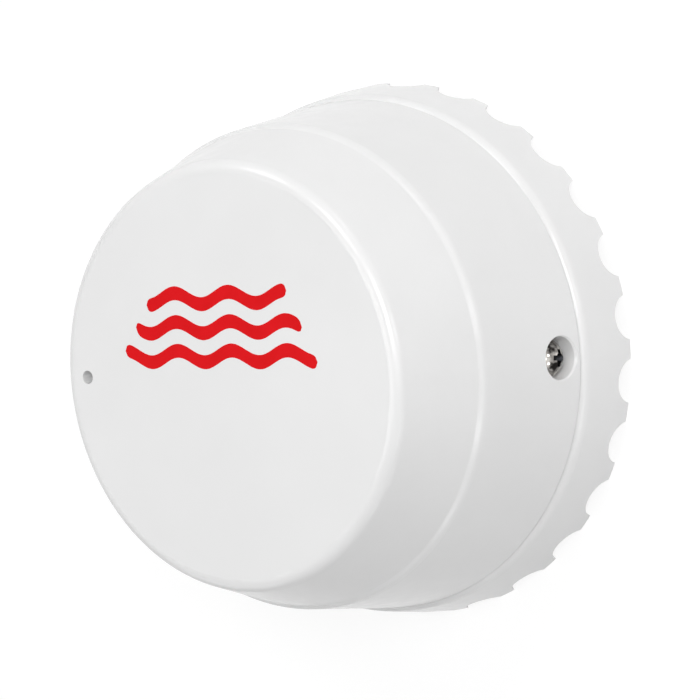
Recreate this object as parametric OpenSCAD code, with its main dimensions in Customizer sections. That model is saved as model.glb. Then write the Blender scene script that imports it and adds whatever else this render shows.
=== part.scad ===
// Round water leak sensor: a stepped conical shell on a base with an arched rim,
// closed by two radial screws, with two metal probes in the hollow underside.
// Millimetres, +Z up along the axis, floor at z = 0, right cover screw on +X.

/* [Housing] */
// Overall height, from the floor to the face
body_h = 36; // [34:0.5:42]
// Room between the ends of the battery tray and the shell
tray_end_gap = 2.5; // [2:0.1:4]
// Height of the shoulder, from the face down to its lower edge
shoulder_h = 10.5; // [8:0.1:12]
// How far the shoulder narrows towards the face
shoulder_in = 3.85; // [2.5:0.05:4.5]
// Radius of the round between the face and the shoulder
face_round = 1.6; // [1:0.1:3]
// How far the band and the base stand proud at their upper edges
edge_step = 0.45; // [0.3:0.05:0.8]
// Radius of the round on these two upper edges
edge_round = 1.3; // [0.8:0.1:1.5]
// Radius of the hollow round where the shoulder meets the band
foot_round = 1; // [0.5:0.1:1.5]
// How far the band widens towards the parting line
band_out = 3.1; // [2:0.1:4]
// Height of the parting line between the shell and the base
parting_z = 8.3; // [7.6:0.1:9.4]
// Visible gap at the parting line
parting_gap = 0.15; // [0.05:0.05:0.3]
// How far the base widens towards the rim
skirt_out = 1.7; // [1:0.1:3]
// Wall thickness of the shell's sides and of the base's skirt
wall = 2.2; // [1.8:0.1:2.6]
// Thickness of the face
face_wall = 2.2; // [1.6:0.1:3]

/* [Base] */
// Number of water inlets round the rim
inlet_count = 28; // [20:4:32]
// Width of a water inlet at the floor
inlet_w = 5.5; // [4:0.1:5.8]
// Height of a water inlet's arch
inlet_h = 2.15; // [1.5:0.05:2.5]
// Depth of the hollow underside
hollow_h = 3; // [2.7:0.1:3.4]
// Thickness of the base's floor
floor_t = 2; // [1.6:0.1:2.4]
// Thickness of the collar inside the shell
collar_t = 1.8; // [1.4:0.1:2.2]
// Height of the collar above the parting line
collar_h = 2.6; // [1.4:0.1:3.4]
// Section diameter of the housing seal
seal_d = 1.2; // [1:0.05:1.4]

/* [Cover screws] */
// Height of the screw axes above the parting line
screw_up = 3.4; // [3.3:0.1:6]
// Diameter of the thread
screw_d = 2.6; // [2.2:0.1:3]
// Length under the head
screw_len = 8; // [7:0.5:9]
// Diameter of the head
head_d = 4.5; // [4.2:0.1:4.7]
// Height of the head
head_h = 1.7; // [1.5:0.1:2]
// Gap between the head and its recess in the band
recess_gap = 0.35; // [0.2:0.05:0.4]
// Width of the chamfer round the recess
recess_flare = 0.25; // [0.1:0.05:0.35]
// Depth of the head's top below the band
head_sink = 0.2; // [0.1:0.05:0.6]
// Thickness of the sealing ring under the head
ring_t = 0.6; // [0.4:0.1:0.8]
// Wall of the shell's boss round the recess
boss_wall = 0.6; // [0.5:0.1:0.8]
// Thickness of the boss under the sealing ring
boss_t = 2.3; // [1.8:0.1:2.6]
// Width of the base's posts that take the screws
post_w = 7; // [6:0.1:8]

/* [Reset button] */
// Diameter of the pinhole in the face
pinhole_d = 1.7; // [1.3:0.1:2]
// Distance of the pinhole from the face's corner
pinhole_in = 3.4; // [3.2:0.1:4.5]
// Wall of the pinhole's guide inside the shell
guide_wall = 1.15; // [0.8:0.05:1.4]
// Travel of the button
button_travel = 0.25; // [0.1:0.05:0.4]
// Width of the switch
switch_w = 3.5; // [3:0.1:4]
// Height of the switch
switch_h = 1.6; // [1.4:0.1:2]
// Height of the button's top above the board
stem_top = 2.5; // [2.2:0.1:2.8]

/* [Circuit board] */
// Thickness of the board
board_t = 1.6; // [1:0.1:2]
// Room between the board and the face
head_room = 6; // [5:0.1:7]
// Gap between the board's edge and the shell
board_gap = 0.6; // [0.4:0.1:1.5]
// Distance of the board screws from the board's edge
board_screw_edge = 4.55; // [4.2:0.05:5]
// Gap between the tray's sides and the heads of the board screws
ear_gap = 0.4; // [0.2:0.1:0.8]
// Thread diameter of the board screws
board_screw_d = 2; // [1.7:0.1:2.2]
// Length of the board screws under the head
board_screw_len = 7; // [6:0.5:8]
// Head diameter of the board screws
board_head_d = 4; // [3.4:0.1:4.2]
// Head height of the board screws
board_head_h = 1.5; // [1.2:0.1:1.8]

/* [Parts on the board] */
// Least gap between the parts on the board
part_gap = 3; // [1.5:0.1:3.5]
// Width of the radio module
module_w = 16; // [14:0.1:18]
// Length of the radio module
module_l = 24; // [20:0.1:26]
// Thickness of the radio module
module_t = 0.8; // [0.6:0.1:1.2]
// Length of the antenna end, which the shield leaves free
antenna_l = 7; // [5:0.1:8]
// Margin of the radio module round its shield
shield_in = 1.5; // [1:0.1:2]
// Height of the shield above the radio module
shield_h = 2.3; // [1.8:0.1:2.6]
// Width of the power chip's body
chip_w = 3.9; // [3:0.1:5]
// Length of the power chip
chip_l = 4.9; // [4:0.1:6]
// Height of the power chip
chip_h = 1.5; // [1:0.1:1.8]
// Distance between two legs of the power chip
leg_pitch = 1.27; // [1:0.01:1.3]
// Diameter of the sounder
sounder_d = 12; // [10:0.5:13]
// Diameter of the sounder's opening
sounder_hole_d = 2; // [1.5:0.1:3]
// Diameter of the capacitor's can
can_d = 6.3; // [5:0.1:7]
// Free height above the sounder and the capacitor
head_gap = 0.7; // [0.4:0.1:1.2]
// Length of the status light
led_l = 3.2; // [2:0.1:3.4]
// Width of the status light
led_w = 1.6; // [1:0.1:1.8]

/* [Batteries] */
// Diameter of a cell
cell_d = 10.5; // [9.5:0.1:11.7]
// Length of a cell with its button
cell_len = 44.5; // [40:0.1:50]
// Diameter of a cell's button
cell_button_d = 3.8; // [3:0.1:4.2]
// Height of a cell's button
cell_button_h = 0.8; // [0.6:0.1:1]
// Clearance round a cell in the tray
cell_gap = 0.2; // [0.1:0.05:0.4]
// Thickness of the rib between the cells
cell_rib = 1; // [0.8:0.1:1.6]
// Wall thickness of the tray
tray_wall = 1.2; // [1:0.1:1.4]
// Thickness of the tray's plate
tray_plate_t = 1.5; // [1.2:0.1:2]
// Number of cradle ribs under each cell
cradle_count = 3; // [2:1:5]
// Diameter of the finger notch in the tray's sides
notch_d = 14; // [10:0.5:18]
// Free length between a cell's end and the tray's end wall
contact_room = 1.25; // [1:0.05:1.6]
// Sheet thickness of the battery contacts
contact_t = 0.4; // [0.3:0.05:0.5]
// Width of a battery contact
contact_w = 7.5; // [6:0.1:8.4]
// Width of a contact's solder tail
tail_w = 2.4; // [2:0.1:3]

/* [Probes] */
// Gap between the tray's sides and the contact pins
pin_gap = 2.9; // [2.4:0.1:3]
// Thread diameter of a probe
probe_d = 3; // [2.5:0.1:3.2]
// Diameter of a probe's head
probe_head_d = 6; // [5:0.1:7]
// Height of a probe's head
probe_head_h = 1.8; // [1.4:0.1:1.9]
// Thickness of the seal under a probe's head
washer_t = 0.6; // [0.4:0.1:0.7]
// Height of a probe's nut
nut_h = 2.4; // [2:0.1:2.6]
// Width of the nut across its flats
nut_af = 5.5; // [5:0.1:5.6]
// Length of thread above the nut
stud_out = 1.2; // [0.8:0.1:2]
// Diameter of a contact pin's barrel
pin_d = 3; // [2.4:0.1:3.4]
// Diameter of a contact pin's plunger
plunger_d = 2; // [1.5:0.1:2.2]
// Length of a contact pin's barrel
barrel_l = 12; // [8:0.5:14]

/* [Hidden] */

$fn = 96;

white_abs = [0.93, 0.93, 0.92];
black_rubber = [0.12, 0.12, 0.12];
steel = [0.62, 0.62, 0.63];
nickel = [0.75, 0.74, 0.7];
gold = [0.83, 0.68, 0.32];
board_green = [0.08, 0.32, 0.18];
module_blue = [0.05, 0.12, 0.3];
chip_black = [0.1, 0.1, 0.11];
can_silver = [0.7, 0.71, 0.72];
led_yellow = [0.9, 0.9, 0.8];
button_black = [0.24, 0.24, 0.25];
tray_grey = [0.2, 0.2, 0.21];
cell_blue = [0.15, 0.3, 0.55];

// Clearance between pieces that only pass each other
loose = 0.25;
// Clearance of a shaft that turns or slides in a hole
running = 0.05;
// Depth to which a boss or a rib runs into the wall that carries it
root = 0.3;
// Length added to a cut so that it passes right through
over = 1;
// Excess of a round's radius, so that it crosses its neighbours instead of grazing them
graze = 0.002;

// The two cells side by side, and the tray round them
cell_x = cell_rib / 2 + cell_gap + cell_d / 2;
bay_x = cell_x + cell_d / 2 + cell_gap;
tray_x = bay_x + tray_wall;
bay_y = cell_len / 2 + contact_room;
tray_y = bay_y + tray_wall;

// The housing, sized round the tray
shoulder_slope = shoulder_in / shoulder_h;
shoulder_wall = wall / cos(atan(shoulder_slope));
ring_z = body_h - shoulder_h;
ring_in_r = tray_y + tray_end_gap;
ring_r = ring_in_r + shoulder_wall;
face_r = ring_r - shoulder_in;
band_top_r = ring_r + edge_step;
band_slope = band_out / (ring_z - parting_z);
band_wall = wall / cos(atan(band_slope));
band_r = band_top_r + band_out;
parting_in_r = band_r - band_wall;
base_edge_r = band_r + edge_step;
skirt_slope = skirt_out / parting_z;
skirt_wall = wall / cos(atan(skirt_slope));
rim_r = base_edge_r + skirt_out;

// Outer radius of the shoulder, of the band and of the skirt at a height
function shoulder_r(z) = face_r + shoulder_slope * (body_h - z);
function band_r_at(z) = band_top_r + band_slope * (ring_z - z);
function skirt_r(z) = base_edge_r + skirt_slope * (parting_z - z);

// Inner radius of the shoulder and of the band at a height
function shoulder_in_r(z) = shoulder_r(z) - shoulder_wall;
function band_in_r(z) =
    ring_in_r + (parting_in_r - ring_in_r) * (ring_z - z) / (ring_z - parting_z);

// Rounding of the corner c between p and n: a tangent point and the centre
function unit(v) = v / norm(v);
function half_angle(p, c, n) = acos(unit(p - c) * unit(n - c)) / 2;
function tangent(p, c, n, r) = c + unit(p - c) * r / tan(half_angle(p, c, n));
function round_centre(p, c, n, r) =
    c + unit(unit(p - c) + unit(n - c)) * r / sin(half_angle(p, c, n));

// Levels of the housing
face_in_z = body_h - face_wall;
floor_top_z = hollow_h + floor_t;
seal_room = seal_d + 2 * running;
collar_top_z = parting_z + collar_h;
collar_r = parting_in_r - loose;
collar_top_r = band_in_r(collar_top_z) - loose;
collar_in_r = collar_top_r - collar_t;
seal_r = parting_in_r + seal_room / 2 + running;
seal_z = parting_z + parting_gap - seal_room / 2;

// Levels of the board, the tray and the cells, from the face down
board_top_z = face_in_z - head_room;
board_z = board_top_z - board_t;
board_r = shoulder_in_r(board_top_z) - board_gap;
tray_plate_z = board_z - tray_plate_t;
tray_r = min(ring_in_r, shoulder_in_r(board_z)) - loose;
cell_z = tray_plate_z - cell_gap - cell_d / 2;
contact_y = bay_y - contact_t;
contact_reach = contact_y - cell_len / 2 - running;

// Board screws beside the tray, near the board's edge
board_screw_x = tray_x + ear_gap + board_head_d / 2;
board_screw_r = board_r - board_screw_edge;
board_screw_y = sqrt(board_screw_r * board_screw_r - board_screw_x * board_screw_x);
ear_r = board_head_d / 2 + ear_gap + tray_wall / 2;

// Levels of the probes
probe_x = tray_x + pin_gap + pin_d / 2;
probe_head_z = hollow_h - washer_t - probe_head_h;
probe_top_z = floor_top_z + nut_h + stud_out;
nut_d = nut_af / cos(30);

// Stations along the axis of a cover screw
screw_z = parting_z + screw_up;
screw_face_r = band_r_at(screw_z);
head_seat_r = screw_face_r - head_sink - head_h;
recess_floor_r = head_seat_r - ring_t;
recess_d = head_d + 2 * recess_gap;
boss_d = recess_d + 2 * boss_wall;
boss_in_r = recess_floor_r - boss_t;
post_out_r = boss_in_r - parting_gap;
post_in_r = probe_x + nut_d / 2 + loose;
post_top_z = screw_z + boss_d / 2;

// Levels of the reset switch above the board
pinhole_x = face_r - pinhole_in;
guide_z = board_top_z + stem_top + 2 * loose;
cover_t = 0.3;
flange_t = 0.3;
stem_r = 0.8;
flange_r = 1.2;
flange_z = switch_h - cover_t - flange_t - running;
pocket_z = flange_z - button_travel - running;

// Places of the parts on the board
tail_clear = 1;
module_y = contact_y - tail_clear - module_l;
leg_out = 1;
chip_x = -module_w / 2 - part_gap - leg_out - chip_w / 2;
chip_y = chip_l;
sounder_x = can_d / 2;
sounder_y = module_y - part_gap - sounder_d / 2;
sounder_h = head_room - head_gap;
can_foot = can_d + loose;
can_foot_h = 0.8;
can_x = sounder_x - sounder_d / 2 - part_gap - can_foot / 2;
can_y = sounder_y + sounder_d / 2 - can_foot / 2;
can_h = head_room - head_gap - can_foot_h;
led_y = switch_w / 2 + part_gap / 2 + led_l / 2;

module mirrored_x() {
    children();
    mirror([1, 0, 0]) children();
}

module at_board_screws() {
    for (x = [-1, 1], y = [-1, 1])
        translate([x * board_screw_x, y * board_screw_y, 0]) children();
}

// Turns a shape drawn up the Z axis to lie along +X at the screw's height
module along_screw() {
    translate([0, 0, screw_z]) rotate([0, 90, 0]) children();
}

module half_turn() {
    rotate([0, 0, 180]) children();
}

// Half section from the axis out to a tapering side, which runs from the corner
// down to the point low, with a round of radius r on the corner
module rounded_step(corner, low, r) {
    inner = [0, corner.y];
    polygon([
        [0, low.y], inner,
        tangent(inner, corner, low, r), tangent(low, corner, inner, r),
        low
    ]);
    translate(round_centre(inner, corner, low, r)) circle(r + graze);
}

// Fills the corner between the shoulder and the round of the band's edge, whose centre is given,
// with a hollow round that touches both
module shoulder_foot(edge) {
    down = unit([shoulder_slope, -1]);
    out = unit([1, shoulder_slope]);
    start = [ring_r, ring_z] + foot_round * out - edge;
    reach = foot_round + edge_round;
    slide = -start * down - sqrt(pow(start * down, 2) - start * start + reach * reach);
    centre = edge + start + slide * down;
    difference() {
        polygon([centre - foot_round * out, centre, edge]);
        translate(centre) circle(foot_round + graze);
    }
}

module shell_outline() {
    low_z = ring_z - edge_round;
    bottom_z = parting_z + parting_gap;
    band_corner = [band_top_r, ring_z];
    band_low = [band_r_at(bottom_z), bottom_z];
    rounded_step([face_r, body_h], [shoulder_r(low_z), low_z], face_round);
    rounded_step(band_corner, band_low, edge_round);
    shoulder_foot(round_centre([0, ring_z], band_corner, band_low, edge_round));
}

module shell_cavity() {
    polygon([
        [0, parting_z - over], [0, face_in_z], [shoulder_in_r(face_in_z), face_in_z],
        [ring_in_r, ring_z], [parting_in_r, parting_z], [parting_in_r, parting_z - over]
    ]);
}

module screw_boss() {
    translate([0, 0, boss_in_r])
        cylinder(d = boss_d, h = recess_floor_r + wall / 2 - boss_in_r);
}

module screw_recess() {
    translate([0, 0, recess_floor_r]) cylinder(d = recess_d, h = screw_face_r);
    translate([0, 0, screw_face_r]) rotate([0, -atan(band_slope), 0])
        translate([0, 0, -2 * recess_flare])
            cylinder(
                d1 = recess_d - 2 * recess_flare,
                d2 = recess_d + 4 * recess_flare,
                h = 3 * recess_flare
            );
    translate([0, 0, boss_in_r - over])
        cylinder(d = screw_d + 2 * loose, h = boss_t + 2 * over);
}

// Boss under the face that takes a board screw
module board_boss() {
    boss_h = face_in_z - board_top_z;
    boss_r = board_head_d / 2 + root;
    foot_h = 1;
    cylinder(r = boss_r, h = boss_h + root);
    translate([0, 0, boss_h - foot_h])
        cylinder(r1 = boss_r, r2 = boss_r + foot_h / 2, h = foot_h + root);
}

module top_shell() {
    bore_h = board_screw_len - board_t - tray_plate_t + root;
    guide_r = pinhole_d / 2 + guide_wall;
    color(white_abs)
    difference() {
        union() {
            rotate_extrude() difference() {
                shell_outline();
                shell_cavity();
            }
            mirrored_x() along_screw() screw_boss();
            at_board_screws() translate([0, 0, board_top_z]) board_boss();
            translate([-pinhole_x, 0, guide_z]) cylinder(r = guide_r, h = face_in_z - guide_z + root);
        }
        mirrored_x() along_screw() screw_recess();
        at_board_screws() translate([0, 0, board_top_z - over])
            cylinder(d = board_screw_d + 2 * running, h = bore_h + over);
        translate([-pinhole_x, 0, guide_z - over]) cylinder(d = pinhole_d, h = body_h);
    }
}

module base_outline() {
    core_z = parting_z - wall;
    difference() {
        union() {
            rounded_step([base_edge_r, parting_z], [rim_r, 0], edge_round);
            polygon([
                [0, 0], [collar_r, 0], [collar_r, parting_z],
                [collar_top_r, collar_top_z], [0, collar_top_z]
            ]);
        }
        // Hollow underside, with a core groove that keeps the skirt's wall even up to the parting line
        polygon([
            [0, -over], [skirt_r(-over) - skirt_wall, -over],
            [skirt_r(core_z) - skirt_wall, core_z], [collar_r, core_z],
            [collar_r, hollow_h], [0, hollow_h]
        ]);
        // Groove for the housing seal in the ledge under the shell
        translate([seal_r - seal_room / 2, seal_z - seal_room / 2])
            square([seal_room, seal_room + over]);
        // Open top inside the collar
        translate([0, floor_top_z]) square([collar_in_r, collar_top_z]);
    }
}

module water_inlets() {
    arch_r = (inlet_w * inlet_w / 4 + inlet_h * inlet_h) / (2 * inlet_h);
    for (i = [0 : inlet_count - 1])
        rotate([0, 0, (i + 0.5) * 360 / inlet_count])
            translate([rim_r - 2 * skirt_wall, 0, inlet_h - arch_r]) rotate([0, 90, 0])
                cylinder(r = arch_r, h = 2 * skirt_wall + over, $fn = 48);
}

module screw_post() {
    foot_z = floor_top_z - root;
    translate([post_in_r, -post_w / 2, foot_z])
        cube([post_out_r - post_in_r, post_w, post_top_z - foot_z]);
}

module base() {
    color(white_abs)
    difference() {
        union() {
            rotate_extrude() base_outline();
            mirrored_x() screw_post();
        }
        water_inlets();
        mirrored_x() {
            along_screw() translate([0, 0, post_in_r - over])
                cylinder(d = screw_d, h = post_out_r - post_in_r + 2 * over);
            // Notch in the collar round the shell's boss
            along_screw() translate([0, 0, post_out_r + loose])
                cylinder(d = boss_d + 2 * loose, h = collar_r - post_out_r + over);
            translate([probe_x, 0, 0]) cylinder(d = probe_d + 2 * running, h = floor_top_z + over);
        }
    }
}

module housing_seal() {
    color(black_rubber)
    rotate_extrude()
        translate([seal_r, seal_z]) circle(d = seal_d);
}

module cross_recess(size, depth) {
    arm = size * 0.3;
    for (a = [0, 90]) rotate([0, 0, a])
        translate([-size / 2, -arm / 2, -depth]) cube([size, arm, depth + over]);
}

// Pan-head screw drawn up the Z axis, with its head's seat at z = 0
module pan_screw(thread_d, len, top_d, top_h) {
    rim_share = 0.45;
    cross_share = 0.6;
    dome_h = top_h * (1 - rim_share);
    dome_r = (top_d * top_d / 4 + dome_h * dome_h) / (2 * dome_h);
    tip = thread_d / 4;
    difference() {
        union() {
            intersection() {
                cylinder(d = top_d, h = top_h);
                translate([0, 0, top_h - dome_r]) sphere(dome_r);
            }
            translate([0, 0, tip - len]) cylinder(d = thread_d - 2 * running, h = len - tip);
            translate([0, 0, -len]) cylinder(d1 = thread_d / 2, d2 = thread_d - 2 * running, h = tip);
        }
        translate([0, 0, top_h]) cross_recess(top_d * cross_share, top_h * cross_share);
    }
}

module cover_screw() {
    color(steel)
    along_screw() translate([0, 0, head_seat_r]) pan_screw(screw_d, screw_len, head_d, head_h);
}

module cover_screw_right() { cover_screw(); }

module cover_screw_left() { half_turn() cover_screw(); }

module screw_seal() {
    color(black_rubber)
    along_screw() translate([0, 0, recess_floor_r]) difference() {
        cylinder(d = head_d, h = ring_t);
        translate([0, 0, -over]) cylinder(d = screw_d, h = ring_t + 2 * over);
    }
}

module screw_seal_right() { screw_seal(); }

module screw_seal_left() { half_turn() screw_seal(); }

// Slot through the tray and the board for the tail of a battery contact
module contact_slot(x) {
    translate([x - tail_w / 2 - running, contact_y - running, tray_plate_z - over])
        cube([tail_w + 2 * running, contact_t + 2 * running, board_top_z - tray_plate_z + 2 * over]);
}

module circuit_board() {
    color(board_green)
    translate([0, 0, board_z]) difference() {
        cylinder(r = board_r, h = board_t);
        at_board_screws() translate([0, 0, -over])
            cylinder(d = board_screw_d + 2 * loose, h = board_t + 2 * over);
        for (x = [-cell_x, cell_x]) translate([0, 0, -board_z]) contact_slot(x);
    }
}

module board_screws() {
    color(steel)
    at_board_screws() translate([0, 0, tray_plate_z]) rotate([180, 0, 0])
        pan_screw(board_screw_d, board_screw_len, board_head_d, board_head_h);
}

// Radio module with half-round pads along its sides and its antenna end at the board's edge
module wifi_module() {
    pad_count = 8;
    pad_d = module_t;
    pad_pitch = (module_l - antenna_l) / pad_count;
    color(module_blue)
    translate([0, module_y, board_top_z]) difference() {
        translate([-module_w / 2, 0, 0]) cube([module_w, module_l, module_t]);
        for (x = [-1, 1], i = [0 : pad_count - 1])
            translate([x * module_w / 2, (i + 0.5) * pad_pitch, -over])
                cylinder(d = pad_d, h = module_t + 2 * over, $fn = 24);
    }
}

module wifi_shield() {
    shield_w = module_w - 2 * shield_in;
    shield_l = module_l - antenna_l - shield_in;
    color(nickel)
    translate([0, module_y + shield_in, board_top_z + module_t])
        translate([-shield_w / 2, 0, 0]) cube([shield_w, shield_l, shield_h]);
}

module power_chip() {
    leg_w = 0.4;
    leg_count = 4;
    leg_root = 0.2;
    stand_off = 0.1;
    leg_y0 = -leg_pitch * (leg_count - 1) / 2 - leg_w / 2;
    leg_h = chip_h / 2;
    color(chip_black)
    translate([chip_x, chip_y, board_top_z]) {
        translate([-chip_w / 2, -chip_l / 2, stand_off]) cube([chip_w, chip_l, chip_h - stand_off]);
        for (side = [0, 180], i = [0 : leg_count - 1]) rotate([0, 0, side])
            translate([chip_w / 2 - leg_root, leg_y0 + i * leg_pitch, 0]) {
                translate([leg_root, 0, 0]) cube([leg_out, leg_w, leg_w / 2]);
                translate([0, 0, leg_h - leg_w / 2]) cube([leg_root + leg_w, leg_w, leg_w / 2]);
                translate([leg_root + leg_w / 2, 0, 0]) cube([leg_w / 2, leg_w, leg_h]);
            }
    }
}

module sounder() {
    lip = 0.6;
    color(chip_black)
    translate([sounder_x, sounder_y, board_top_z]) difference() {
        union() {
            cylinder(d = sounder_d, h = sounder_h - lip);
            translate([0, 0, sounder_h - lip])
                cylinder(d1 = sounder_d, d2 = sounder_d - 2 * lip, h = lip);
        }
        translate([0, 0, sounder_h - 2 * lip]) cylinder(d = sounder_hole_d, h = 2 * lip + over);
    }
}

module capacitor() {
    groove = 0.3;
    groove_z = 2 * groove;
    color(can_silver)
    translate([can_x, can_y, board_top_z]) {
        translate([-can_foot / 2, -can_foot / 2, 0]) cube([can_foot, can_foot, can_foot_h]);
        translate([0, 0, can_foot_h]) difference() {
            cylinder(d = can_d, h = can_h);
            translate([0, 0, groove_z]) rotate_extrude()
                translate([can_d / 2, groove]) circle(groove, $fn = 24);
        }
    }
}

module status_led() {
    foot_h = 0.5;
    lens_h = 0.6;
    lens_l = led_l * 0.6;
    color(led_yellow)
    translate([-pinhole_x, led_y, board_top_z]) {
        translate([-led_w / 2, -led_l / 2, 0]) cube([led_w, led_l, foot_h]);
        translate([-led_w / 2, -lens_l / 2, foot_h]) cube([led_w, lens_l, lens_h]);
    }
}

module reset_switch() {
    color(chip_black)
    translate([-pinhole_x, 0, board_top_z]) difference() {
        translate([-switch_w / 2, -switch_w / 2, 0]) cube([switch_w, switch_w, switch_h]);
        translate([0, 0, pocket_z])
            cylinder(r = flange_r + 2 * running, h = switch_h - cover_t - pocket_z);
        translate([0, 0, pocket_z]) cylinder(r = stem_r + 2 * running, h = switch_h);
    }
}

module reset_button() {
    color(button_black)
    translate([-pinhole_x, 0, board_top_z + flange_z]) {
        cylinder(r = flange_r, h = flange_t);
        cylinder(r = stem_r, h = stem_top - flange_z);
    }
}

// Half-round saddles that the cells lie in
module cradle_ribs() {
    pitch = cell_len / (cradle_count + 1);
    difference() {
        for (i = [1 : cradle_count])
            translate([-bay_x - root, i * pitch - cell_len / 2 - tray_wall / 2, cell_z])
                cube([2 * (bay_x + root), tray_wall, tray_plate_z - cell_z + root]);
        for (x = [-cell_x, cell_x])
            translate([x, 0, cell_z]) rotate([90, 0, 0])
                cylinder(d = cell_d + 2 * cell_gap, h = cell_len, center = true);
    }
}

module battery_tray() {
    side_z = cell_z - cell_d * 0.2;
    end_z = cell_z - cell_d * 0.35;
    color(tray_grey)
    difference() {
        union() {
            intersection() {
                union() {
                    translate([-tray_x, -tray_y, tray_plate_z])
                        cube([2 * tray_x, 2 * tray_y, tray_plate_t]);
                    mirrored_x() translate([bay_x, -tray_y, side_z])
                        cube([tray_wall, 2 * tray_y, tray_plate_z - side_z + root]);
                    for (y = [-tray_y, bay_y]) translate([-tray_x, y, end_z])
                        cube([2 * tray_x, tray_wall, tray_plate_z - end_z + root]);
                    translate([-cell_rib / 2, -bay_y - root, cell_z])
                        cube([cell_rib, 2 * (bay_y + root), tray_plate_z - cell_z + root]);
                    cradle_ribs();
                }
                cylinder(r = tray_r, h = body_h);
            }
            at_board_screws() translate([0, 0, tray_plate_z]) cylinder(r = ear_r, h = tray_plate_t);
        }
        at_board_screws() translate([0, 0, tray_plate_z - over])
            cylinder(d = board_screw_d + 2 * loose, h = tray_plate_t + 2 * over);
        for (x = [-cell_x, cell_x]) contact_slot(x);
        // Finger notches for lifting the cells
        translate([0, 0, side_z]) rotate([0, 90, 0]) difference() {
            cylinder(d = notch_d, h = 2 * (tray_x + over), center = true);
            cylinder(d = notch_d + over, h = 2 * bay_x, center = true);
        }
    }
}

// Cell drawn along +Y: a can with a drawn-in neck, and its button at the +Y end
module cell() {
    neck = cell_d * 0.05;
    can_l = cell_len - cell_button_h;
    translate([0, -cell_len / 2, 0]) rotate([-90, 0, 0]) rotate_extrude() {
        polygon([
            [0, 0], [cell_d / 2 - neck, 0], [cell_d / 2, neck],
            [cell_d / 2, can_l - 2 * neck], [cell_d / 2 - neck, can_l - neck],
            [cell_d / 2 - neck, can_l], [0, can_l]
        ]);
        square([cell_button_d / 2, cell_len]);
    }
}

module cell_right() {
    color(cell_blue)
    translate([cell_x, 0, cell_z]) cell();
}

module cell_left() {
    color(cell_blue)
    translate([-cell_x, 0, cell_z]) half_turn() cell();
}

module contact_plate(x) {
    foot_z = cell_z - contact_w / 2;
    translate([x - contact_w / 2, contact_y, foot_z])
        cube([contact_w, contact_t, tray_plate_z - running - foot_z]);
}

// Tail that runs through the tray and is soldered on the board
module contact_tail(x) {
    tail_out = 0.6;
    translate([x - tail_w / 2, contact_y, cell_z])
        cube([tail_w, contact_t, board_top_z + tail_out - cell_z]);
}

// Pressed dimple that meets a cell's button
module contact_dimple(x) {
    translate([x, contact_y + root, cell_z]) rotate([90, 0, 0])
        cylinder(d1 = cell_button_d + 2 * root, d2 = cell_button_d - 2 * root, h = contact_reach + root);
}

// Bowed leaf that presses on a cell's flat end
module contact_leaf(x) {
    bow_l = contact_w * 0.9;
    bow_r = (bow_l * bow_l / 4 + contact_reach * contact_reach) / (2 * contact_reach);
    bow_y = contact_y - contact_reach + bow_r;
    translate([x - tail_w / 2, 0, cell_z]) rotate([90, 0, 90]) intersection() {
        translate([bow_y, 0, 0]) difference() {
            cylinder(r = bow_r, h = tail_w);
            translate([0, 0, -over]) cylinder(r = bow_r - contact_t, h = tail_w + 2 * over);
        }
        translate([contact_y - contact_reach - over, -contact_w / 2, 0])
            cube([contact_reach + over + contact_t / 2, contact_w, tail_w]);
    }
}

module positive_contact() {
    color(nickel) {
        contact_plate(cell_x);
        contact_tail(cell_x);
        contact_dimple(cell_x);
    }
}

module negative_contact() {
    color(nickel) {
        contact_plate(-cell_x);
        contact_tail(-cell_x);
        contact_leaf(-cell_x);
    }
}

module link_contact() {
    bridge_h = contact_w / 2 - loose;
    color(nickel)
    half_turn() {
        contact_plate(cell_x);
        contact_plate(-cell_x);
        translate([-cell_x, contact_y, cell_z - contact_w / 2])
            cube([2 * cell_x, contact_t, bridge_h]);
        contact_dimple(cell_x);
        contact_leaf(-cell_x);
    }
}

module water_probes() {
    edge = probe_head_h / 3;
    color(nickel)
    mirrored_x() translate([probe_x, 0, probe_head_z]) {
        cylinder(d1 = probe_head_d - 2 * edge, d2 = probe_head_d, h = edge);
        translate([0, 0, edge]) cylinder(d = probe_head_d, h = probe_head_h - edge);
        cylinder(d = probe_d, h = probe_top_z - probe_head_z);
    }
}

module probe_seals() {
    color(black_rubber)
    mirrored_x() translate([probe_x, 0, hollow_h - washer_t]) difference() {
        cylinder(d = probe_head_d, h = washer_t);
        translate([0, 0, -over]) cylinder(d = probe_d + 2 * running, h = washer_t + 2 * over);
    }
}

module probe_nuts() {
    chamfer = nut_d / 2 - nut_af / 2;
    color(steel)
    mirrored_x() translate([probe_x, 0, floor_top_z]) difference() {
        intersection() {
            cylinder(d = nut_d, h = nut_h, $fn = 6);
            union() {
                cylinder(d = nut_d + over, h = nut_h - chamfer);
                translate([0, 0, nut_h - chamfer])
                    cylinder(d1 = nut_d + 2 * chamfer, d2 = nut_af - chamfer, h = chamfer);
            }
        }
        translate([0, 0, -over]) cylinder(d = probe_d + 2 * running, h = nut_h + 2 * over);
    }
}

// Sprung pins between the probes and the board
module contact_pins() {
    barrel_z = board_z - barrel_l;
    foot_h = 1;
    color(gold)
    mirrored_x() translate([probe_x, 0, 0]) {
        translate([0, 0, board_z - foot_h]) cylinder(d = pin_d + foot_h, h = foot_h);
        translate([0, 0, barrel_z]) cylinder(d = pin_d, h = barrel_l);
        translate([0, 0, probe_top_z]) cylinder(d = plunger_d, h = barrel_z - probe_top_z);
    }
}

top_shell();
base();
housing_seal();
cover_screw_right();
cover_screw_left();
screw_seal_right();
screw_seal_left();
circuit_board();
board_screws();
wifi_module();
wifi_shield();
power_chip();
sounder();
capacitor();
status_led();
reset_switch();
reset_button();
battery_tray();
cell_right();
cell_left();
positive_contact();
negative_contact();
link_contact();
water_probes();
probe_seals();
probe_nuts();
contact_pins();
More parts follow.
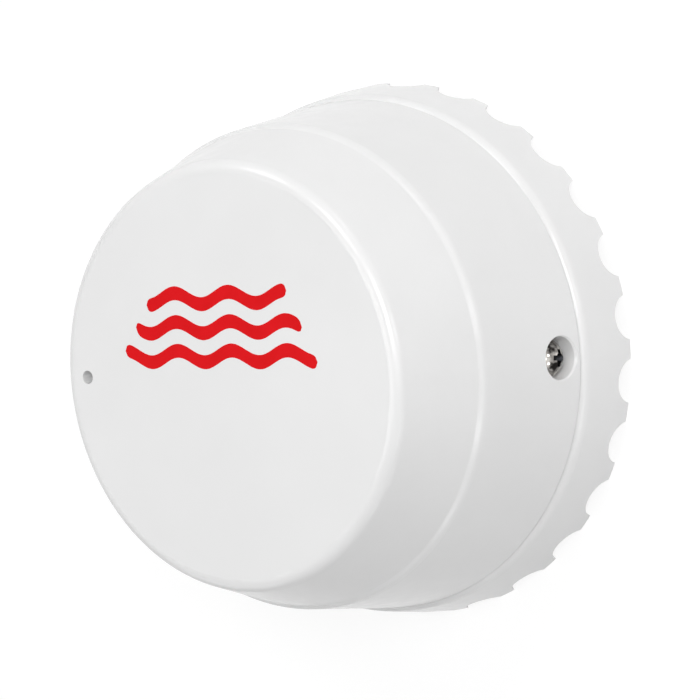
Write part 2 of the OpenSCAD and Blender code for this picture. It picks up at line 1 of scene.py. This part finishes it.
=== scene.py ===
"""Looks of a round water leak sensor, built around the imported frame.

White moulded housing lying on a pale floor, seen from above and from its right cover screw's side.
"""

from math import cos, pi, radians, sin

import bmesh
import bpy
from mathutils import Matrix, Vector


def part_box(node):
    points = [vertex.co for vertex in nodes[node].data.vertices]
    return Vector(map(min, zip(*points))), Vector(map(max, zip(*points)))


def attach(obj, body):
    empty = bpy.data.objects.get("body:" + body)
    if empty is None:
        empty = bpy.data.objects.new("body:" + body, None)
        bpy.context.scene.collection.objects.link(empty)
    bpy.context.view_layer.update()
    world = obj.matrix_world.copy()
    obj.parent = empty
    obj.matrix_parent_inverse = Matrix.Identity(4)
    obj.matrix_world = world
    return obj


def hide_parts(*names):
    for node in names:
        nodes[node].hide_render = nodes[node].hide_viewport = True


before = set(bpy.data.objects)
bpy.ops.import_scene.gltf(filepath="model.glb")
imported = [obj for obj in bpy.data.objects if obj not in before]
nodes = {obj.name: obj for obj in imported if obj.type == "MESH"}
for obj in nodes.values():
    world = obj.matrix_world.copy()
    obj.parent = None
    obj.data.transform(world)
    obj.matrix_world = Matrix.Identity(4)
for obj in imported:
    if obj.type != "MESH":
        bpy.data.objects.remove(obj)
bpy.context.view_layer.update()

MM = 0.001
FACTOR, MIX_A, MIX_B, MIX_OUT = 0, 6, 7, 2  # sockets of a colour mix, by number because their names repeat
WAVE_PERIOD = 0.314  # length of one band of a wave texture at scale 1


# Helpers for materials


def srgb(text):
    """An sRGB hex colour as linear red, green, blue and alpha."""
    values = [int(text[i : i + 2], 16) / 255 for i in (0, 2, 4)]
    return [v / 12.92 if v <= 0.04045 else ((v + 0.055) / 1.055) ** 2.4 for v in values] + [1.0]


def add(tree, kind, inputs=None, **settings):
    """Adds a node; inputs go by socket name or number to an output or a constant, settings are properties."""
    made = tree.nodes.new(kind)
    for name, value in settings.items():
        setattr(made, name, value)
    for name, source in (inputs or {}).items():
        socket = made.inputs[name]
        if isinstance(source, bpy.types.NodeSocket):
            tree.links.new(source, socket)
        else:
            socket.default_value = source
    return made


def material(name):
    """A new node material with its tree and its Principled shader."""
    made = bpy.data.materials.new(name)
    made.use_nodes = True
    return made, made.node_tree, made.node_tree.nodes["Principled BSDF"]


def place(tree):
    """Object coordinates, in metres in the part's own frame."""
    return add(tree, "ShaderNodeTexCoord").outputs["Object"]


def per_mm(size):
    """Texture scale at which one feature is about this many millimetres."""
    return 1 / (size * MM)


def stops(ramp, *pairs):
    """Sets a colour ramp's stops, each a position and an sRGB hex colour."""
    elements = ramp.color_ramp.elements
    while len(elements) < len(pairs):
        elements.new(1.0)
    for element, (position, colour) in zip(elements, pairs):
        element.position = position
        element.color = srgb(colour)


def grained(
    name, tones, cloud, grain, gloss, relief, stretch=(1, 1, 1), detail=4.0, spread=0.2, **sockets
):
    """A surface whose tone drifts in clouds, and whose gloss and relief follow a finer grain, sizes in mm.

    Gives the material, its tree, its shader and the outputs with its tone and its normal.
    """
    made, tree, shader = material(name)
    where = add(tree, "ShaderNodeMapping", {"Vector": place(tree), "Scale": stretch}).outputs["Vector"]
    clouds = add(
        tree, "ShaderNodeTexNoise",
        {"Vector": where, "Scale": per_mm(cloud), "Detail": 3.0, "Roughness": 0.5},
    )
    tint = add(tree, "ShaderNodeValToRGB", {"Fac": clouds.outputs["Fac"]})
    stops(tint, (0.5 - spread, tones[0]), (0.5 + spread, tones[1]))
    fine = add(
        tree, "ShaderNodeTexNoise",
        {"Vector": where, "Scale": per_mm(grain), "Detail": detail, "Roughness": 0.5},
    )
    sheen = add(
        tree, "ShaderNodeMapRange",
        {
            "Value": fine.outputs["Fac"], "From Min": 0.3, "From Max": 0.7,
            "To Min": gloss[0], "To Max": gloss[1],
        },
    )
    bump = add(
        tree, "ShaderNodeBump",
        {"Height": fine.outputs["Fac"], "Strength": 1.0, "Distance": relief * MM},
    )
    tree.links.new(tint.outputs["Color"], shader.inputs["Base Color"])
    tree.links.new(sheen.outputs["Result"], shader.inputs["Roughness"])
    tree.links.new(bump.outputs["Normal"], shader.inputs["Normal"])
    for socket, value in sockets.items():
        shader.inputs[socket.replace("_", " ")].default_value = value
    return made, tree, shader, tint.outputs["Color"], bump.outputs["Normal"]


# Materials

# ABS, injection moulded in a polished tool: an even neutral white with a satin sheen,
# a barely visible orange peel and slight flow clouds.
white_abs = grained(
    "white_abs_moulded_satin", ("ECECEC", "EFEFEF"), 14, 2.2, (0.17, 0.23), 0.0004,
    detail=1.0, IOR=1.53,
)[0]

# EPDM rubber, compression moulded: matt black with a greyish bloom.
seal_rubber = grained(
    "epdm_rubber_moulded_matt", ("1A1A1B", "262627"), 1.5, 0.12, (0.55, 0.72), 0.004, IOR=1.52,
)[0]

# Acetal, moulded: dense dark grey with a waxy gloss.
button_acetal = grained(
    "acetal_moulded_dark", ("2C2C2E", "343436"), 1.0, 0.15, (0.3, 0.42), 0.001, IOR=1.48,
)[0]

# Polypropylene, moulded in a spark-eroded tool: dark grey with an open matt grain.
tray_pp = grained(
    "polypropylene_moulded_grained", ("222224", "2C2C2E"), 6, 0.35, (0.48, 0.62), 0.01, IOR=1.49,
)[0]

# Epoxy moulding compound: near black, with the pale flecks of its quartz filler, drawn at
# 0.25 mm, several times their real size, so that they show.
chip_epoxy = grained(
    "epoxy_compound_moulded", ("17171A", "232326"), 0.25, 0.1, (0.5, 0.65), 0.003, IOR=1.55,
)[0]

# Nickel plated steel sheet, pressed: a warm grey metal with rolling lines along X, a few times
# their real width.
nickel_sheet = grained(
    "nickel_plated_sheet_pressed", ("B4B0A8", "CBC7BF"), 1.2, 0.12, (0.24, 0.38), 0.0015,
    stretch=(0.06, 1, 1), Metallic=1.0,
)[0]

# Aluminium can, deep drawn: pale metal with drawing lines up the wall, a few times their real width.
drawn_aluminium = grained(
    "aluminium_deep_drawn", ("C4C5C8", "D8D9DB"), 0.8, 0.1, (0.2, 0.32), 0.001,
    stretch=(1, 1, 0.05), Metallic=1.0,
)[0]

# Brass, turned and gold flashed: warm yellow metal with tool marks round the pin, a few times
# their real width.
gold_brass = grained(
    "brass_turned_gold_flash", ("C79A3E", "DDB65C"), 1.5, 0.12, (0.16, 0.3), 0.0015,
    stretch=(0.15, 0.15, 1), Metallic=1.0,
)[0]

# Stainless steel, cold headed and tumbled: a bright metal whose colour drifts in clouds from dark
# to light, a painted reflection of a studio's lamps and blacks, as polished steel shows them.
headed_steel_painted_reflections = grained(
    "stainless_steel_cold_headed_painted_reflections", ("1E1C1B", "CFCBC6"), 1.4, 0.3, (0.07, 0.14), 0.003,
    detail=2.0, spread=0.12, Metallic=1.0,
)[0]

# The same steel where the punch formed the driver's cross: dull, and darker in colour, as painted shade in
# the recess.
punched_steel_painted_shade = grained(
    "stainless_steel_punched_painted_shade", ("131416", "2B2C2F"), 0.4, 0.15, (0.3, 0.45), 0.004, Metallic=1.0,
)[0]

# Pad printing ink: an opaque matt signal red with soft pin marks.
print_ink = grained(
    "pad_print_ink_red", ("DA060F", "E10B15"), 2.5, 0.3, (0.45, 0.6), 0.001,
    IOR=1.5, Specular_IOR_Level=0.15,
)[0]


# Stainless steel, turned: a pale metal with the lathe's rings on each probe's face, drawn
# at 0.5 mm, several times a real feed, so that they show, with painted shade in their grooves.
def turned_steel(axis_x):
    pitch, depth, shade = 0.5, 0.005, 0.45
    made, tree, shader, tone, normal = grained(
        "stainless_steel_turned", ("A7A8A8", "BDBEBE"), 1.8, 0.1, (0.18, 0.3), 0.001, Metallic=1.0,
    )
    at = add(tree, "ShaderNodeSeparateXYZ", {"Vector": place(tree)})
    side = add(tree, "ShaderNodeMath", {0: at.outputs["X"]}, operation="ABSOLUTE")
    off = add(tree, "ShaderNodeMath", {0: side.outputs[0], 1: axis_x}, operation="SUBTRACT")
    flat = add(tree, "ShaderNodeCombineXYZ", {"X": off.outputs[0], "Y": at.outputs["Y"]})
    radius = add(tree, "ShaderNodeVectorMath", {0: flat.outputs[0]}, operation="LENGTH")
    turns = add(
        tree, "ShaderNodeMath",
        {0: radius.outputs["Value"], 1: 2 * pi * per_mm(pitch)}, operation="MULTIPLY",
    )
    rings = add(tree, "ShaderNodeMath", {0: turns.outputs[0]}, operation="SINE")
    groove = add(
        tree, "ShaderNodeBump",
        {"Height": rings.outputs[0], "Normal": normal, "Strength": 1.0, "Distance": depth * MM},
    )
    # The rings' grooves darken the colour towards 6C6D6E: painted shade.
    dark = add(
        tree, "ShaderNodeMapRange",
        {"Value": rings.outputs[0], "From Min": -1.0, "From Max": 1.0, "To Min": shade, "To Max": 0.0},
    )
    paint = add(
        tree, "ShaderNodeMix",
        {FACTOR: dark.outputs["Result"], MIX_A: tone, MIX_B: srgb("6C6D6E")}, data_type="RGBA",
    )
    tree.links.new(paint.outputs[MIX_OUT], shader.inputs["Base Color"])
    tree.links.new(groove.outputs["Normal"], shader.inputs["Normal"])
    return made


# Glass laminate under solder mask: glossy, with the copper runs as paler lines in the mask,
# in blocks that run along X or along Y, about twice a real pitch so that they show.
def masked_laminate(name, ground, run, pitch, block):
    edge_low, edge_high, copper_height = 0.62, 0.72, 0.03
    made, tree, shader, tone, normal = grained(name, ground, 5, 0.3, (0.25, 0.36), 0.002, IOR=1.52)
    where = place(tree)
    along = [
        add(
            tree, "ShaderNodeTexWave",
            {"Vector": where, "Scale": WAVE_PERIOD * per_mm(pitch), "Distortion": 0.0},
            bands_direction=axis,
        )
        for axis in ("X", "Y")
    ]
    blocks = add(
        tree, "ShaderNodeTexVoronoi",
        {"Vector": where, "Scale": per_mm(block)}, distance="MANHATTAN",
    )
    turn = add(tree, "ShaderNodeSeparateColor", {"Color": blocks.outputs["Color"]})
    choice = add(tree, "ShaderNodeMath", {0: turn.outputs["Red"], 1: 0.5}, operation="GREATER_THAN")
    lines = add(
        tree, "ShaderNodeMix",
        {"Factor": choice.outputs[0], "A": along[0].outputs["Fac"], "B": along[1].outputs["Fac"]},
    )
    copper = add(
        tree, "ShaderNodeMapRange",
        {"Value": lines.outputs["Result"], "From Min": edge_low, "From Max": edge_high},
    )
    paint = add(
        tree, "ShaderNodeMix",
        {FACTOR: copper.outputs["Result"], MIX_A: tone, MIX_B: srgb(run)}, data_type="RGBA",
    )
    ridge = add(
        tree, "ShaderNodeBump",
        {
            "Height": copper.outputs["Result"], "Normal": normal,
            "Strength": 1.0, "Distance": copper_height * MM,
        },
    )
    tree.links.new(paint.outputs[MIX_OUT], shader.inputs["Base Color"])
    tree.links.new(ridge.outputs["Normal"], shader.inputs["Normal"])
    return made


# Printed shrink film over a steel can: a glossy blue sleeve with a pale band near the button,
# and bare nickel at both ends. The button lies towards +Y, or -Y where way is -1.
def cell_film(name, half, way):
    band_from, band_to, foot, shoulder = 0.7, 0.93, 0.014, 0.955
    made, tree, shader, tone, _ = grained(name, ("1E4C86", "265A98"), 8, 0.8, (0.2, 0.3), 0.002)
    at = add(tree, "ShaderNodeSeparateXYZ", {"Vector": place(tree)})
    along = add(
        tree, "ShaderNodeMapRange",
        {"Value": at.outputs["Y"], "From Min": -way * half, "From Max": way * half},
    ).outputs["Result"]
    band = add(tree, "ShaderNodeValToRGB", {"Fac": along})
    band.color_ramp.interpolation = "CONSTANT"
    stops(band, (0.0, "000000"), (band_from, "FFFFFF"), (band_to, "000000"))
    sleeve = add(
        tree, "ShaderNodeMix",
        {FACTOR: band.outputs["Color"], MIX_A: tone, MIX_B: srgb("D6D9DC")}, data_type="RGBA",
    )
    bare = add(tree, "ShaderNodeValToRGB", {"Fac": along})
    bare.color_ramp.interpolation = "CONSTANT"
    stops(bare, (0.0, "FFFFFF"), (foot, "000000"), (shoulder, "FFFFFF"))
    paint = add(
        tree, "ShaderNodeMix",
        {FACTOR: bare.outputs["Color"], MIX_A: sleeve.outputs[MIX_OUT], MIX_B: srgb("C4C1BA")},
        data_type="RGBA",
    )
    tree.links.new(paint.outputs[MIX_OUT], shader.inputs["Base Color"])
    tree.links.new(bare.outputs["Color"], shader.inputs["Metallic"])
    return made


# Silicone lens over a phosphor die: a milky body that turns yellow towards its middle.
def led_lens(centre):
    die, body = 0.3, 1.0
    made, tree, shader, tone, _ = grained(
        "silicone_lens_phosphor", ("EDEBDD", "F4F2E8"), 1, 0.1, (0.14, 0.24), 0.001, IOR=1.45,
    )
    away = add(tree, "ShaderNodeVectorMath", {0: place(tree), 1: centre}, operation="DISTANCE")
    glow = add(
        tree, "ShaderNodeMapRange",
        {
            "Value": away.outputs["Value"], "From Min": die * MM, "From Max": body * MM,
            "To Min": 1.0, "To Max": 0.0,
        },
    )
    paint = add(
        tree, "ShaderNodeMix",
        {FACTOR: glow.outputs["Result"], MIX_A: tone, MIX_B: srgb("E9CF4A")}, data_type="RGBA",
    )
    tree.links.new(paint.outputs[MIX_OUT], shader.inputs["Base Color"])
    return made


# Dressing of the CAD nodes


def middle(node):
    """The centre of a CAD node's box."""
    low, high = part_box(node)
    return (low + high) / 2


def dress(finish, *names):
    """Gives CAD nodes one material."""
    for name in names:
        slots = nodes[name].data.materials
        slots.clear()
        slots.append(finish)


cell_low, cell_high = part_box("cell_right")
cell_half = (cell_high.y - cell_low.y) / 2
nut_low, nut_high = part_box("probe_nuts")
nut_corner = (nut_high.y - nut_low.y) / 2 / cos(radians(30))  # from the nut's axis to a corner, along X
probe_axis = nut_high.x - nut_corner
green_laminate = masked_laminate("glass_laminate_green_mask", ("0F4527", "14502E"), "2C7A4A", 1.1, 7)
blue_laminate = masked_laminate("glass_laminate_blue_mask", ("0C1F45", "112850"), "2A4C86", 0.7, 4)

dress(white_abs, "top_shell", "base")
dress(seal_rubber, "housing_seal", "screw_seal_right", "screw_seal_left", "probe_seals")
dress(headed_steel_painted_reflections, "board_screws")
dress(green_laminate, "circuit_board")
dress(blue_laminate, "wifi_module")
dress(nickel_sheet, "positive_contact", "negative_contact", "link_contact")
dress(chip_epoxy, "power_chip", "sounder", "reset_switch")
dress(drawn_aluminium, "capacitor")
dress(led_lens(middle("status_led")), "status_led")
dress(button_acetal, "reset_button")
dress(tray_pp, "battery_tray")
dress(cell_film("shrink_film_printed_right", cell_half, 1), "cell_right")
dress(cell_film("shrink_film_printed_left", cell_half, -1), "cell_left")
dress(turned_steel(probe_axis), "water_probes", "probe_nuts")
dress(gold_brass, "contact_pins")


# New pieces


def piece(name, bm, matrix, finishes, body, crease=35):
    """Makes an object of a bmesh that was modelled in millimetres, put in place by a matrix."""
    bmesh.ops.recalc_face_normals(bm, faces=bm.faces[:])
    bmesh.ops.transform(bm, matrix=matrix @ Matrix.Scale(MM, 4), verts=bm.verts[:])
    for face in bm.faces:
        face.smooth = True
    data = bpy.data.meshes.new(name)
    bm.to_mesh(data)
    bm.free()
    data.set_sharp_from_angle(angle=radians(crease))
    for finish in finishes:
        data.materials.append(finish)
    made = bpy.data.objects.new(name, data)
    bpy.context.scene.collection.objects.link(made)
    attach(made, body)
    return made


def carve(bm, cutters):
    """A bmesh less some others, all closed."""
    solids = []
    for number, shape in enumerate([bm] + cutters):
        bmesh.ops.recalc_face_normals(shape, faces=shape.faces[:])
        data = bpy.data.meshes.new("carve")
        shape.to_mesh(data)
        shape.free()
        made = bpy.data.objects.new(f"carve_{number}", data)
        bpy.context.scene.collection.objects.link(made)
        solids.append(made)
    for cutter in solids[1:]:
        cut = solids[0].modifiers.new("cut", "BOOLEAN")
        cut.object = cutter
        cut.operation = "DIFFERENCE"
        cut.solver = "EXACT"
    bpy.context.view_layer.update()
    result = bmesh.new()
    result.from_object(solids[0], bpy.context.evaluated_depsgraph_get())
    for made in solids:
        data = made.data
        bpy.data.objects.remove(made)
        bpy.data.meshes.remove(data)
    return result


def dome_radius(across, height, rim):
    """The radius of a pan head's dome, which rises from a straight rim."""
    dome = height - rim
    return (across**2 / 4 + dome**2) / (2 * dome)


def pan_head(across, height, rim):
    """A domed pan head with its seat at z = 0 and its corners rounded."""
    segments, corner_r = 72, 0.12
    radius = dome_radius(across, height, rim)
    bm = bmesh.new()
    bmesh.ops.create_uvsphere(
        bm, u_segments=segments, v_segments=segments, radius=radius,
        matrix=Matrix.Translation((0, 0, height - radius)),
    )
    bmesh.ops.bisect_plane(
        bm, geom=bm.verts[:] + bm.edges[:] + bm.faces[:], dist=1e-5,
        plane_co=(0, 0, rim), plane_no=(0, 0, 1), clear_inner=True,
    )
    edge = [e for e in bm.edges if e.is_boundary]
    side = bmesh.ops.extrude_edge_only(bm, edges=edge)["geom"]
    for vert in side:
        if isinstance(vert, bmesh.types.BMVert):
            vert.co.z = 0
    bottom = [e for e in bm.edges if e.is_boundary]
    bmesh.ops.holes_fill(bm, edges=bottom)
    corners = [e for e in bm.edges if abs(e.calc_face_angle(0)) > radians(30)]
    bmesh.ops.bevel(
        bm, geom=corners, offset=corner_r, offset_type="OFFSET",
        affect="EDGES", segments=4, profile=0.5, material=-1,
    )
    return bm


def dome_touches(face, across, height, rim):
    """Whether a face lies on a pan head's dome."""
    near = 0.01
    radius = dome_radius(across, height, rim)
    centre = Vector((0, 0, height - radius))
    return all(abs((vert.co - centre).length - radius) < near for vert in face.verts)


CUT_OVER = 0.3  # how far the driver's cutters stand over the top of a screw head, in mm


def driver_wing(span, thick, depth, top, turn):
    """One tapered wing of a cross recess, from above the top down to its depth."""
    foot_span, foot_thick = span * 0.42, thick * 0.75
    bm = bmesh.new()
    bmesh.ops.create_cube(bm, size=1)
    for vert in bm.verts:
        high = vert.co.z > 0
        vert.co.x *= span if high else foot_span
        vert.co.y *= thick if high else foot_thick
        vert.co.z = top + CUT_OVER if high else top - depth
    bmesh.ops.rotate(bm, verts=bm.verts[:], matrix=Matrix.Rotation(radians(turn), 3, "Z"))
    return bm


def driver_core(across, depth, top):
    """The tapered middle of a cross recess, a little deeper than its depth."""
    deeper = 0.1
    bm = bmesh.new()
    bmesh.ops.create_cone(
        bm, cap_ends=True, segments=24, radius1=across * 0.2, radius2=across * 0.5, depth=depth + CUT_OVER,
        matrix=Matrix.Translation((0, 0, top - depth / 2 + CUT_OVER / 2 - deeper)),
    )
    return bm


def threaded_shank(bm, across, core, length, pitch):
    """A shank below z = 0 with a cone tip and a helical thread."""
    segments, steps = 48, 36
    tip, ridge_half = across * 0.3, 0.3 * pitch
    into_head, into_core = 0.1, 0.03
    bmesh.ops.create_cone(
        bm, cap_ends=True, segments=segments, radius1=core / 2, radius2=core / 2,
        depth=length - tip + into_head,
        matrix=Matrix.Translation((0, 0, -(length - tip) / 2 + into_head / 2)),
    )
    bmesh.ops.create_cone(
        bm, cap_ends=True, segments=segments, radius1=core / 4, radius2=core / 2, depth=tip,
        matrix=Matrix.Translation((0, 0, -length + tip / 2)),
    )
    turns = int((length - tip - 2 * ridge_half) / pitch)
    base = core / 2 - into_core
    start = -length + tip + ridge_half
    ridge = [
        bm.verts.new((base, 0, start - ridge_half)),
        bm.verts.new((across / 2, 0, start)),
        bm.verts.new((base, 0, start + ridge_half)),
    ]
    loop = [bm.edges.new((ridge[i], ridge[(i + 1) % 3])) for i in range(3)]
    swept = bmesh.ops.spin(
        bm, geom=ridge + loop, cent=(0, 0, 0), axis=(0, 0, 1), dvec=(0, 0, pitch / steps),
        angle=2 * pi * turns, steps=steps * turns, use_merge=False,
    )["geom_last"]
    bmesh.ops.contextual_create(bm, geom=loop)
    bmesh.ops.contextual_create(bm, geom=[g for g in swept if isinstance(g, bmesh.types.BMEdge)])


def cover_screw(name, node, body, half_turn, cross_turn):
    """A pan-head screw with a cross recess, along X in its recess; one turn of its thread is 1 mm."""
    low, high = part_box(node)
    length, height, rim, shank, pitch = 8.0, 1.7, 0.35, 2.5, 1.0
    core = shank * 0.76
    cross_span, cross_width, cross_depth = 2.75, 0.66, 1.1
    hub_across, hub_depth = 1.5, 1.2
    cross_reach, cross_floor = 1.5, 0.1
    across = (high.y - low.y) / MM
    seat = min(abs(low.x), abs(high.x)) / MM + length
    bm = carve(
        pan_head(across, height, rim),
        [
            driver_wing(cross_span, cross_width, cross_depth, height, cross_turn),
            driver_wing(cross_span, cross_width, cross_depth, height, cross_turn + 90),
            driver_core(hub_across, hub_depth, height),
        ],
    )
    # The faces inside the cross recess take the darker steel: painted shade.
    for face in bm.faces:
        centre = face.calc_center_median()
        inside = centre.xy.length < cross_reach and centre.z > cross_floor
        face.material_index = int(inside and not dome_touches(face, across, height, rim))
    threaded_shank(bm, shank, core, length, pitch)
    lie = Matrix.Translation((seat * MM, 0, (low.z + high.z) / 2)) @ Matrix.Rotation(pi / 2, 4, "Y")
    face_out = Matrix.Rotation(pi * half_turn, 4, "Z")
    made = piece(name, bm, face_out @ lie, [headed_steel_painted_reflections, punched_steel_painted_shade], body)
    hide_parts(node)


def radio_shield():
    """A pressed tin can over the radio, with round corners and a stiffening panel."""
    corner_r, edge_r, margin, slope, panel_depth = 0.8, 0.3, 1.4, 0.3, 0.2
    low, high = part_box("wifi_shield")
    size = (high - low) / MM
    bm = bmesh.new()
    bmesh.ops.create_cube(bm, size=1, matrix=Matrix.Diagonal((size.x, size.y, size.z, 1)))
    upright = [e for e in bm.edges if abs(e.verts[0].co.z - e.verts[1].co.z) > 0.1]
    bmesh.ops.bevel(
        bm, geom=upright, offset=corner_r, offset_type="OFFSET",
        affect="EDGES", segments=6, profile=0.5, material=-1,
    )
    lid = max(bm.faces, key=lambda face: face.calc_center_median().z)
    bmesh.ops.bevel(
        bm, geom=lid.edges[:], offset=edge_r, offset_type="OFFSET",
        affect="EDGES", segments=4, profile=0.5, material=-1,
    )
    lid = max(bm.faces, key=lambda face: face.calc_area() * (face.normal.z > 0.9))
    bmesh.ops.inset_region(bm, faces=[lid], thickness=margin)
    bmesh.ops.inset_region(bm, faces=[lid], thickness=slope, depth=-panel_depth)
    made = piece("radio_shield_can", bm, Matrix.Translation(middle("wifi_shield")), [nickel_sheet], "housing")
    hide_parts("wifi_shield")


def face_print():
    """Three plain wavy lines in a thin film of ink on the face."""
    stroke_half, wave_height, wave_length = 0.85, 0.7, 8.5
    lengths, left, first_row, row_step = (30, 26, 22), 0.5, 2.6, 3.5
    film_height, sunk = 0.02, 0.005
    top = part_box("top_shell")[1].z / MM
    bm = bmesh.new()
    for row, length in enumerate(lengths):
        stripe = bmesh.ops.create_grid(bm, x_segments=120, y_segments=6, size=0.5)["verts"]
        for vert in stripe:
            along, across = vert.co.x, vert.co.y
            end = min(1, (0.5 - abs(along)) * length / stroke_half)
            half = stroke_half * (1 - (1 - end) ** 2) ** 0.5
            wave = wave_height * sin(2 * pi * along * length / wave_length)
            vert.co = (along * length - left, first_row + row_step * row + wave + 2 * across * half, 0)
    bmesh.ops.remove_doubles(bm, verts=bm.verts[:], dist=1e-4)
    bmesh.ops.recalc_face_normals(bm, faces=bm.faces[:])
    film = bmesh.ops.extrude_face_region(bm, geom=bm.faces[:], use_keep_orig=True)["geom"]
    raised = [g for g in film if isinstance(g, bmesh.types.BMVert)]
    bmesh.ops.translate(bm, verts=raised, vec=(0, 0, film_height))
    piece("face_print", bm, Matrix.Translation((0, 0, (top - sunk) * MM)), [print_ink], "housing")


cover_screw("cover_screw_right_steel", "cover_screw_right", "right_screw", 0, -6)
cover_screw("cover_screw_left_steel", "cover_screw_left", "left_screw", 1, 21)
radio_shield()
face_print()


# Camera


def look():
    """A camera at the photograph's angle: from above on the right screw's side, rolled so that +Y is up."""
    sensor, focal_px, picture_px = 36, 2150, 700
    eye = Vector((167.05, 20.98, 231.03)) * MM
    ahead = Vector((-0.6023, -0.0721, -0.7950)).normalized()
    right = ahead.cross(Vector((0.0039, 0.9957, -0.0932))).normalized()
    up = right.cross(ahead)
    data = bpy.data.cameras.new("camera")
    data.sensor_width = sensor
    data.lens = sensor * focal_px / picture_px
    data.clip_start = 0.01
    data.clip_end = 20
    camera = bpy.data.objects.new("camera", data)
    camera.matrix_world = Matrix((
        (right.x, up.x, -ahead.x, eye.x),
        (right.y, up.y, -ahead.y, eye.y),
        (right.z, up.z, -ahead.z, eye.z),
        (0, 0, 0, 1),
    ))
    bpy.context.scene.collection.objects.link(camera)
    bpy.context.scene.camera = camera


look()


# Studio: a pale floor, a soft white surround and soft boxes


def seen_directly(tree):
    """1 for rays from the camera, from gloss and through glass."""
    path = add(tree, "ShaderNodeLightPath")
    first = add(
        tree, "ShaderNodeMath",
        {0: path.outputs["Is Camera Ray"], 1: path.outputs["Is Glossy Ray"]}, operation="MAXIMUM",
    )
    return add(
        tree, "ShaderNodeMath",
        {0: first.outputs[0], 1: path.outputs["Is Transmission Ray"]}, operation="MAXIMUM",
    ).outputs[0]


def surround(level):
    """A white world to look at, which lights the object only at this level."""
    world = bpy.data.worlds.new("studio")
    world.use_nodes = True
    bpy.context.scene.world = world
    tree = world.node_tree
    strength = add(
        tree, "ShaderNodeMapRange",
        {"Value": seen_directly(tree), "To Min": level, "To Max": 1.0},
    )
    back = tree.nodes["Background"]
    back.inputs["Color"].default_value = (1, 1, 1, 1)
    tree.links.new(strength.outputs["Result"], back.inputs["Strength"])


def floor():
    """White paper that keeps the object's shadow, whitens with distance and is clear from below."""
    half, below = 3.0, 0.02 * MM
    shadow_reach, white_reach = 0.09, 0.3
    bm = bmesh.new()
    bmesh.ops.create_grid(bm, x_segments=1, y_segments=1, size=half)
    data = bpy.data.meshes.new("floor")
    bm.to_mesh(data)
    bm.free()
    plane = bpy.data.objects.new("floor", data)
    plane.location.z = -below
    bpy.context.scene.collection.objects.link(plane)
    made, tree, shader = material("floor_white_paper")
    paper = add(tree, "ShaderNodeBsdfDiffuse", {"Color": srgb("E6E6E6")})
    faint = add(tree, "ShaderNodeBsdfDiffuse", {"Color": srgb("747474")})
    glow = add(tree, "ShaderNodeEmission", {"Strength": 0.86})
    near = add(tree, "ShaderNodeAddShader", {0: faint.outputs[0], 1: glow.outputs[0]})
    white = add(tree, "ShaderNodeEmission", {"Strength": 1.0})
    away = add(tree, "ShaderNodeVectorMath", {0: place(tree)}, operation="LENGTH")
    reach = add(
        tree, "ShaderNodeMapRange",
        {"Value": away.outputs["Value"], "From Min": shadow_reach, "From Max": white_reach},
    )
    seen = add(
        tree, "ShaderNodeMixShader",
        {0: reach.outputs["Result"], 1: near.outputs[0], 2: white.outputs[0]},
    )
    both = add(
        tree, "ShaderNodeMixShader",
        {0: seen_directly(tree), 1: paper.outputs[0], 2: seen.outputs[0]},
    )
    clear = add(tree, "ShaderNodeBsdfTransparent")
    under = add(tree, "ShaderNodeNewGeometry")
    sheet = add(
        tree, "ShaderNodeMixShader",
        {0: under.outputs["Backfacing"], 1: both.outputs[0], 2: clear.outputs[0]},
    )
    tree.nodes.remove(shader)
    tree.links.new(sheet.outputs[0], tree.nodes["Material Output"].inputs["Surface"])
    data.materials.append(made)


def soft_box(name, azimuth, elevation, level, size, distance=0.8):
    """A square area lamp, aimed at the object from angles in degrees.

    Level 1 lights a surface that faces it as a white sky would.
    """
    aim = Vector((0, 0, 15 * MM))
    data = bpy.data.lights.new(name, "AREA")
    data.shape = "SQUARE"
    data.size = size
    data.energy = level * (pi * distance) ** 2
    lamp = bpy.data.objects.new(name, data)
    around, above = radians(azimuth), radians(elevation)
    direction = Vector((cos(around) * cos(above), sin(around) * cos(above), sin(above)))
    lamp.location = direction * distance + aim
    lamp.rotation_euler = direction.to_track_quat("Z", "Y").to_euler()
    bpy.context.scene.collection.objects.link(lamp)


surround(0.22)
floor()
# Azimuth, elevation, level and width in metres. The boxes light the flats, and the low strips
# draw the bright lines on the rounded edges.
soft_box("main_box", 30, 56, 0.38, 0.3)
soft_box("upper_box", 85, 54, 0.15, 0.22)
soft_box("far_box", 118, 38, 0.10, 0.22)
soft_box("front_box", 2, 42, 0.06, 0.3)
soft_box("upper_strip", 68, 14, 0.035, 0.15)
soft_box("right_strip", 16, 19, 0.055, 0.15)
soft_box("corner_strip", -28, 17, 0.045, 0.14)
soft_box("near_strip", -62, 11, 0.02, 0.12)
soft_box("low_box", -130, 15, 0.065, 0.4)
soft_box("top_box", 180, 75, 0.15, 0.4)

bpy.context.scene.view_settings.view_transform = "Standard"
